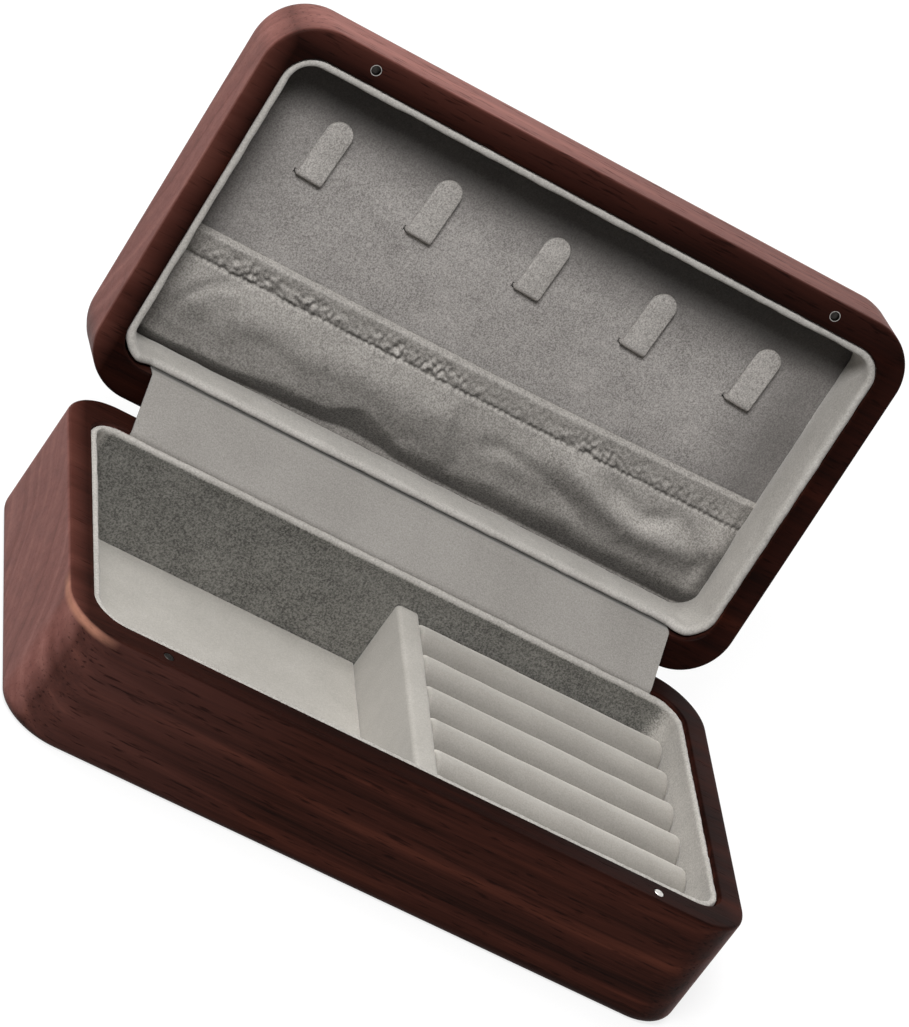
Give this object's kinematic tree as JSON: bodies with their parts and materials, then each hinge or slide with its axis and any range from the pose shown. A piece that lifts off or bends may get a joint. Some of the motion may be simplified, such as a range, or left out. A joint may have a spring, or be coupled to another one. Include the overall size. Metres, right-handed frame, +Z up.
{
  "type": "ring display box",
  "caption": "Hinged walnut jewellery box, shown open, with velvet ring rolls, an open compartment, hook tabs and a gathered pocket in the lid.",
  "frame": {"origin": "middle of the base's underside, where the box rests", "axes": "+X along the box, front at -Y, hinges at +Y, +Z up"},
  "size_m": [0.2, 0.1602, 0.1502],
  "materials": {
    "walnut": "dark satin walnut",
    "velvet_light": "light grey short velvet",
    "velvet_grey": "mid grey short velvet",
    "suede": "grey brushed suede strip",
    "card": "grey card",
    "elastic": "woven elastic band",
    "brass": "satin brass",
    "nickel": "nickel plate"
  },
  "bodies": {
    "base": {"base_case": "walnut", "base_lining": "velvet_grey", "floor_pad": "velvet_light", "divider": "velvet_light", "roll_card": "card", "ring_roll_1": "velvet_light", "ring_roll_2": "velvet_light", "ring_roll_3": "velvet_light", "ring_roll_4": "velvet_light", "ring_roll_5": "velvet_light", "ring_roll_6": "velvet_light", "base_magnet_left": "nickel", "base_magnet_right": "nickel", "hinge_left_base_leaf": "brass", "hinge_left_pin": "brass", "hinge_right_base_leaf": "brass", "hinge_right_pin": "brass", "hinge_base_screws": "brass", "hinge_cover": "suede"},
    "lid": {"lid_case": "walnut", "lid_lining": "velvet_light", "lid_panel": "velvet_grey", "hook_tab_1": "velvet_grey", "hook_tab_2": "velvet_grey", "hook_tab_3": "velvet_grey", "hook_tab_4": "velvet_grey", "hook_tab_5": "velvet_grey", "pocket": "velvet_grey", "pocket_hem": "velvet_grey", "pocket_elastic": "elastic", "lid_magnet_left": "nickel", "lid_magnet_right": "nickel", "hinge_left_lid_leaf": "brass", "hinge_right_lid_leaf": "brass", "hinge_lid_screws": "brass"}
  },
  "joints": [
    {"name": "lid_hinge", "type": "hinge", "parent": "base", "child": "lid", "pos_m": [0, 0.0586, 0.03615], "axis": [1, 0, 0], "range_deg": [0, 99], "deforming": ["hinge_cover"]}
  ]
}
